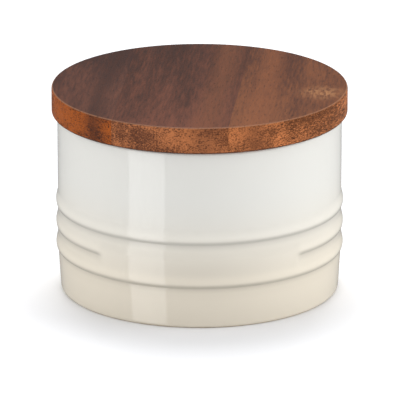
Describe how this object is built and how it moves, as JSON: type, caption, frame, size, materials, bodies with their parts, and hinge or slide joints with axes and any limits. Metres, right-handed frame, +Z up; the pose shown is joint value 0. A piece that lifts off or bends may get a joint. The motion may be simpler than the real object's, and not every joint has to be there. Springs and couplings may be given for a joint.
{
  "type": "lidded jar",
  "caption": "Low round glazed stoneware jar with soft ribs and a flat wooden lid that plugs its mouth on a rubber seal and lifts straight off.",
  "frame": {"origin": "centre of the foot, on the surface that the jar stands on", "axes": "+Z up along the axis of the jar, -Y towards the front, the side with the smooth panel between the ribs"},
  "size_m": [0.118, 0.118, 0.0835],
  "materials": {
    "glaze": "glossy cream glaze on stoneware",
    "lid_wood": "oiled acacia, semi-matt",
    "seal_rubber": "matt milky silicone"
  },
  "bodies": {
    "jar": {"jar_body": "glaze"},
    "seal": {"lid_seal": "seal_rubber"},
    "lid": {"lid_stave_left": "lid_wood", "lid_stave_middle": "lid_wood", "lid_stave_right": "lid_wood"}
  },
  "joints": [
    {"name": "lid_lift", "type": "slide", "parent": "jar", "child": "seal", "axis": [0, 0, 1], "range_m": [0, 0.06]},
    {"name": "lid_turn", "type": "hinge", "parent": "seal", "child": "lid", "pos_m": [0, 0, 0.0726], "axis": [0, 0, 1], "continuous": true}
  ]
}
